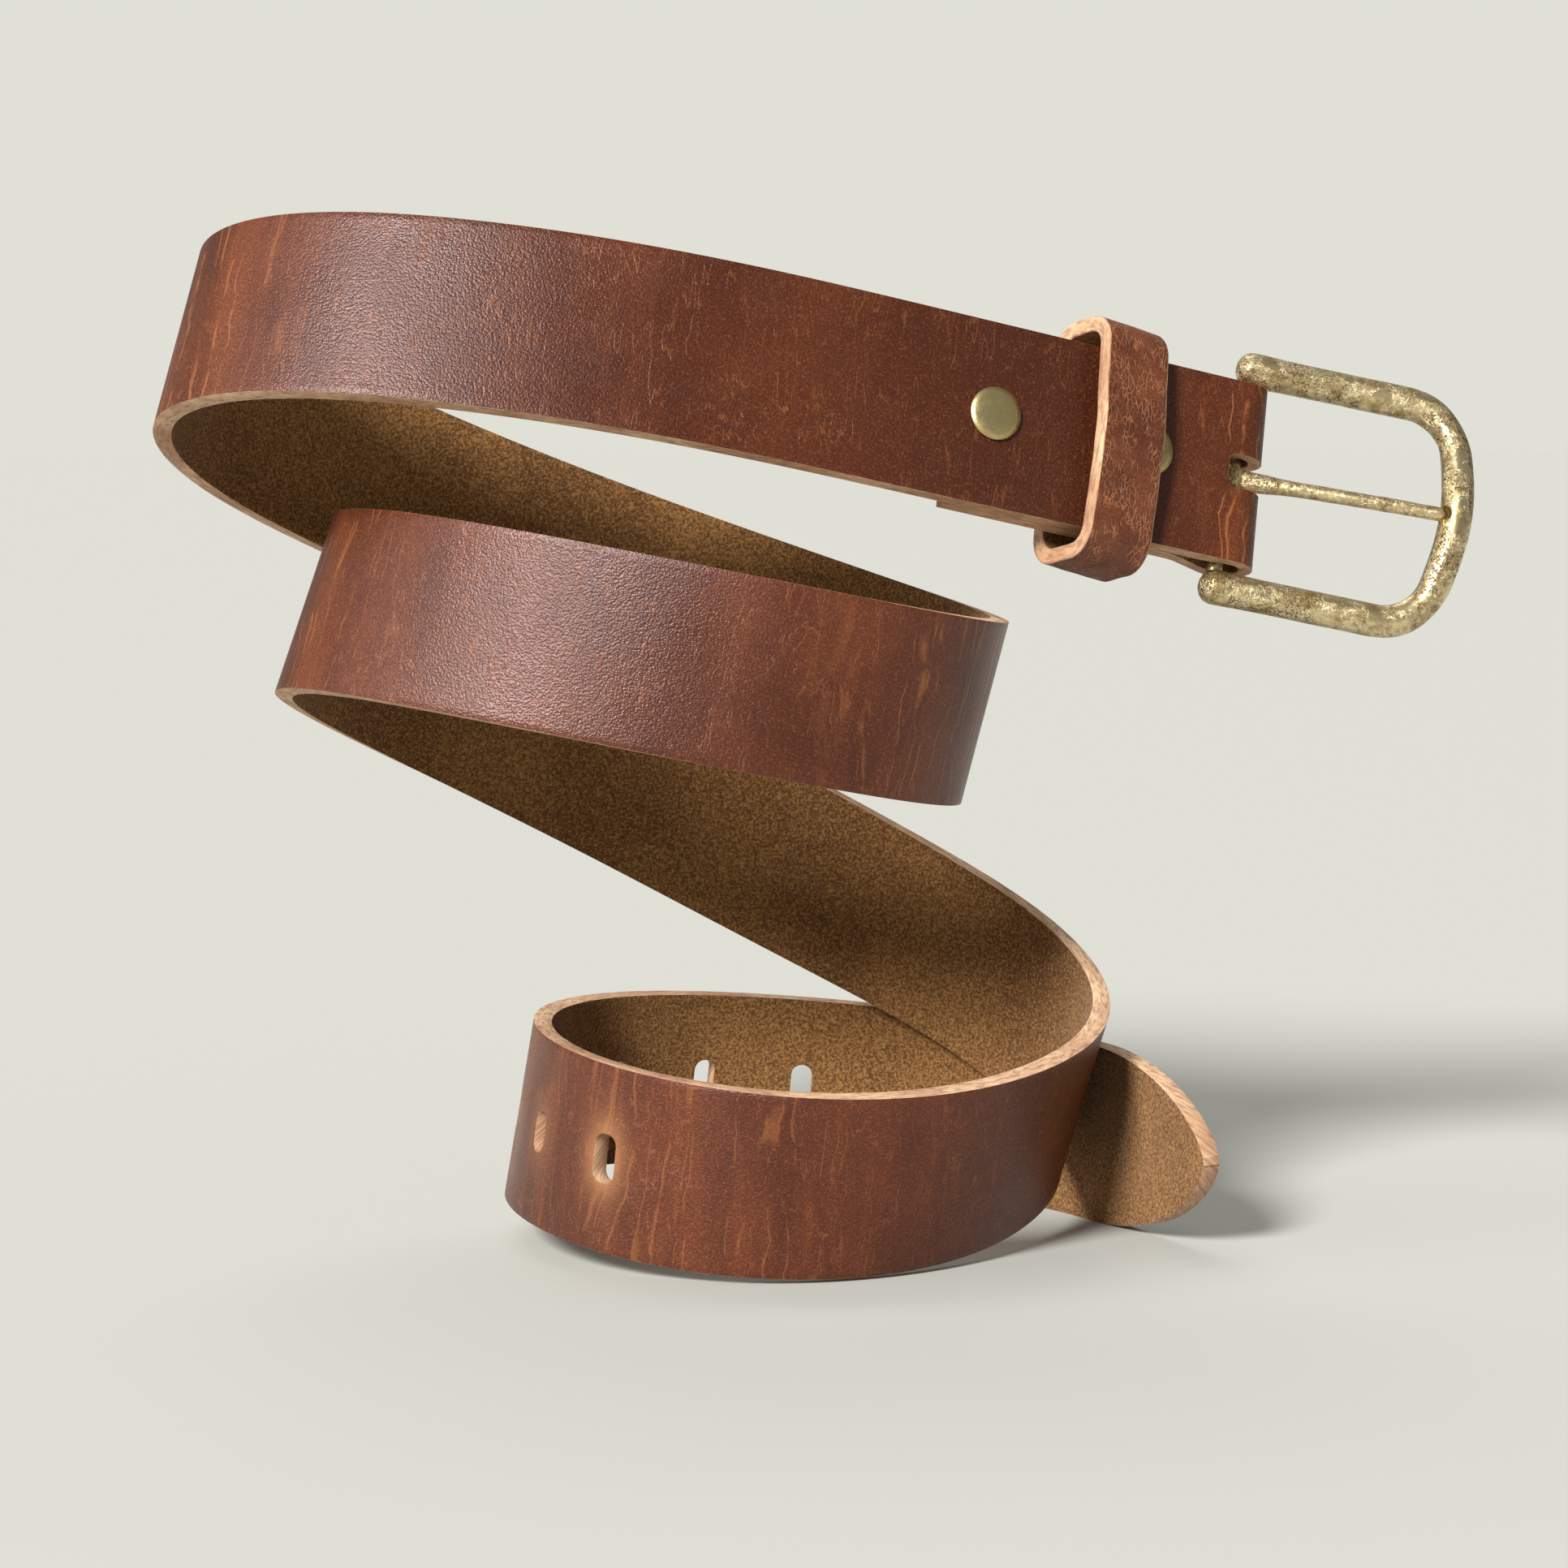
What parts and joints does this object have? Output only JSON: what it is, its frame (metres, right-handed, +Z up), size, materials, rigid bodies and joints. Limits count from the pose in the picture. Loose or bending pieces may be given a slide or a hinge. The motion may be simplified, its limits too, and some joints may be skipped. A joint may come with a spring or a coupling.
{
  "type": "leather belt",
  "caption": "Leather belt with a brass heel-bar buckle, prong, keeper loop and screw posts, stood on edge in a rising coil.",
  "frame": {"origin": "middle of the bounding box in X and Y, at the floor the coil stands on", "axes": "+X towards the buckle end, the long way of the coil; +Y away from the grain side of the front runs; +Z up"},
  "size_m": [0.2461, 0.1198, 0.1956],
  "materials": {
    "strap_leather": "waxed full-grain, pebbled, satin, with a suede flesh side",
    "keeper_leather": "creased full-grain with raw pale edges",
    "staple_brass": "dull antique",
    "post_brass": "satin olive antique",
    "buckle_brass": "antique, rubbed bright on the high places"
  },
  "bodies": {
    "strap": {"strap": "strap_leather", "near_post": "post_brass", "far_post": "post_brass", "near_screw": "post_brass", "far_screw": "post_brass"},
    "keeper": {"keeper_loop": "keeper_leather", "keeper_staple": "staple_brass"},
    "buckle": {"buckle_frame": "buckle_brass", "heel_bar": "buckle_brass"},
    "prong": {"prong": "buckle_brass"}
  },
  "joints": [
    {"name": "buckle_swing", "type": "hinge", "parent": "strap", "child": "buckle", "pos_m": [0.0774, -0.01208, 0.14648], "axis": [-0.187, -0.3548, -0.916], "range_deg": [-60, 20]},
    {"name": "prong_swing", "type": "hinge", "parent": "buckle", "child": "prong", "pos_m": [0.0774, -0.01208, 0.14648], "axis": [-0.187, -0.3548, -0.916], "range_deg": [0, 50]},
    {"name": "keeper_slide", "type": "slide", "parent": "strap", "child": "keeper", "axis": [-0.9231, -0.3178, 0.2164], "range_m": [-0.012, 0.028]}
  ]
}
